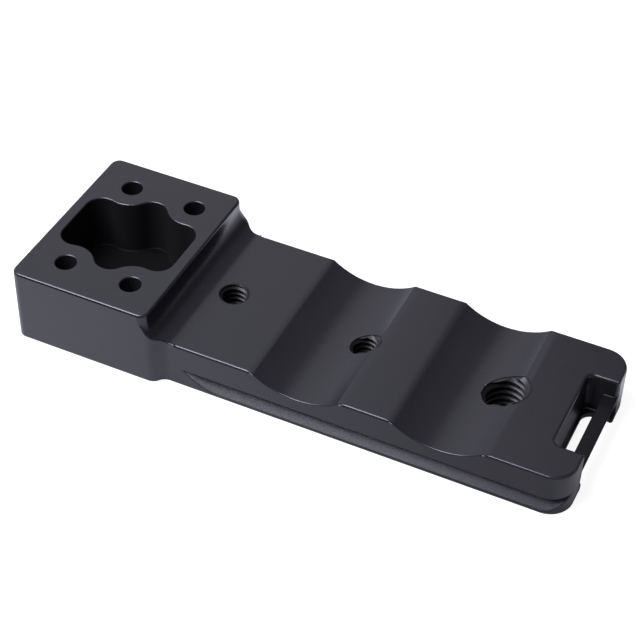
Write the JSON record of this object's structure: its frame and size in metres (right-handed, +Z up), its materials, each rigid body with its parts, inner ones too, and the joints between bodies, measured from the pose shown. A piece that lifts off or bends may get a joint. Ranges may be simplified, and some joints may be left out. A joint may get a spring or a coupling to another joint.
{
  "type": "lens tripod foot",
  "caption": "Milled lens foot: a tall head with a pocket and lens screw holes, on a dovetail bar with finger grooves, tripod threads and a strap slot.",
  "frame": {"origin": "middle of the length and of the width, on the underside that the foot rests on", "axes": "+X along the foot from the lens head to the strap end, +Y across the foot, +Z up towards the lens"},
  "size_m": [0.1184, 0.042, 0.017],
  "materials": {
    "anodised_aluminium": "satin black anodised, faint milling grain"
  },
  "bodies": {
    "root": {"lens_foot": "anodised_aluminium"}
  },
  "joints": []
}
